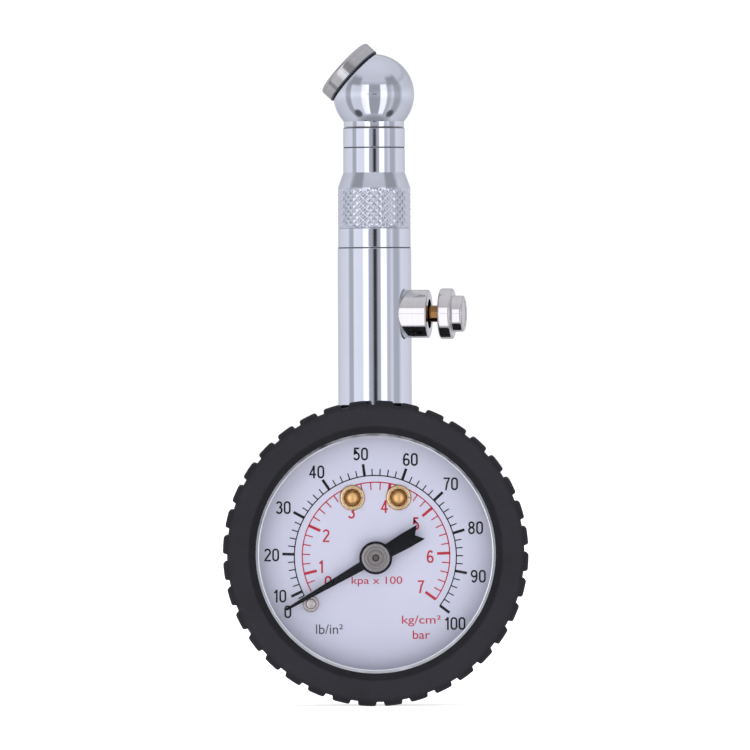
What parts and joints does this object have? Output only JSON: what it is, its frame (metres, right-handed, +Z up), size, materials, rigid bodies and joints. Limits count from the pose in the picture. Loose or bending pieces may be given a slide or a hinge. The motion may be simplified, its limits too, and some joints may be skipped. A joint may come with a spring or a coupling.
{
  "type": "dial tyre pressure gauge",
  "caption": "Hand-held dial tyre pressure gauge with an angled swivel chuck, a knurled chromed stem, a push-button bleed valve and a rubber boot shaped like a tyre tread.",
  "frame": {"origin": "on the stem's axis, level with the boot's lowest point", "axes": "+Z runs up the stem towards the chuck; the dial faces -Y; +X is to the right of someone reading the dial"},
  "size_m": [0.062, 0.027, 0.1346],
  "materials": {
    "boot_rubber": "matt moulded black rubber",
    "seal_rubber": "smooth black rubber",
    "case_steel": "plated pressed steel",
    "bezel_chrome": "bright chrome",
    "stem_chrome": "polished chrome plating",
    "satin_nickel": "satin nickel, turned",
    "lens_clear": "clear flat lens",
    "dial_white": "satin white print on aluminium",
    "pointer_black": "matt black",
    "brass": "turned brass",
    "bronze": "drawn phosphor bronze",
    "steel": "bright steel"
  },
  "bodies": {
    "gauge_body": {"boot": "boot_rubber", "case": "case_steel", "bezel_ring": "bezel_chrome", "lens": "lens_clear", "lens_gasket": "seal_rubber", "dial_plate": "dial_white", "dial_screws": "brass", "dial_screw_washers": "brass", "zero_stop_pin": "satin_nickel", "hairspring": "bronze", "movement_front_plate": "brass", "movement_back_plate": "brass", "movement_pillars": "brass", "movement_screws": "steel", "bourdon_tube": "bronze", "bourdon_end_piece": "brass", "socket_block": "brass", "neck_seal": "seal_rubber", "barrel": "stem_chrome", "barrel_o_ring": "seal_rubber", "upper_barrel": "stem_chrome", "check_seat": "seal_rubber", "check_spring": "steel", "check_retainer": "brass", "swivel_collar": "stem_chrome", "bleed_boss": "satin_nickel", "bleed_spring": "steel"},
    "pointer_arbor": {"pointer": "pointer_black", "pointer_hub": "satin_nickel", "pinion_shaft": "steel"},
    "sector": {"sector_gear": "brass", "sector_arbor": "steel"},
    "link": {"link": "brass", "link_pins": "steel"},
    "bleed_plunger": {"bleed_stem": "brass", "bleed_seal": "seal_rubber", "bleed_button": "satin_nickel"},
    "chuck_head": {"ball_head": "stem_chrome", "swivel_stem": "brass", "swivel_o_ring": "seal_rubber", "chuck_cap": "satin_nickel", "chuck_seal": "seal_rubber", "depressor_pin": "brass"},
    "check_poppet": {"check_poppet": "brass"}
  },
  "joints": [
    {"name": "pointer_turn", "type": "hinge", "parent": "gauge_body", "child": "pointer_arbor", "pos_m": [0, 0, 0.03005], "axis": [0, 1, 0], "range_deg": [0, 247.2], "stiffness_Nm_per_rad": 0.00002, "springref_deg": -28.65, "deforming": ["hairspring"]},
    {"name": "sector_swing", "type": "hinge", "parent": "gauge_body", "child": "sector", "pos_m": [-0.01043, 0, 0.02584], "axis": [0, 1, 0], "range_deg": [-31, 0]},
    {"name": "link_pivot", "type": "hinge", "parent": "sector", "child": "link", "pos_m": [-0.01477, 0, 0.02703], "axis": [0, 1, 0], "range_deg": [0, 31]},
    {"name": "bleed_press", "type": "slide", "parent": "gauge_body", "child": "bleed_plunger", "axis": [-0.9877, 0.1564, 0], "range_m": [0, 0.0018], "stiffness_N_per_m": 600, "springref_m": -0.003, "deforming": ["bleed_spring"]},
    {"name": "chuck_swivel", "type": "hinge", "parent": "gauge_body", "child": "chuck_head", "pos_m": [0, 0, 0.1242], "axis": [0, 0, 1], "continuous": true},
    {"name": "check_lift", "type": "slide", "parent": "gauge_body", "child": "check_poppet", "axis": [0, 0, -1], "range_m": [0, 0.0012], "stiffness_N_per_m": 60, "springref_m": -0.004, "deforming": ["check_spring"]}
  ],
  "couplings": [
    {"joint": "sector_swing", "follows": "pointer_turn", "ratio": -0.125},
    {"joint": "link_pivot", "follows": "pointer_turn", "ratio": 0.125}
  ]
}
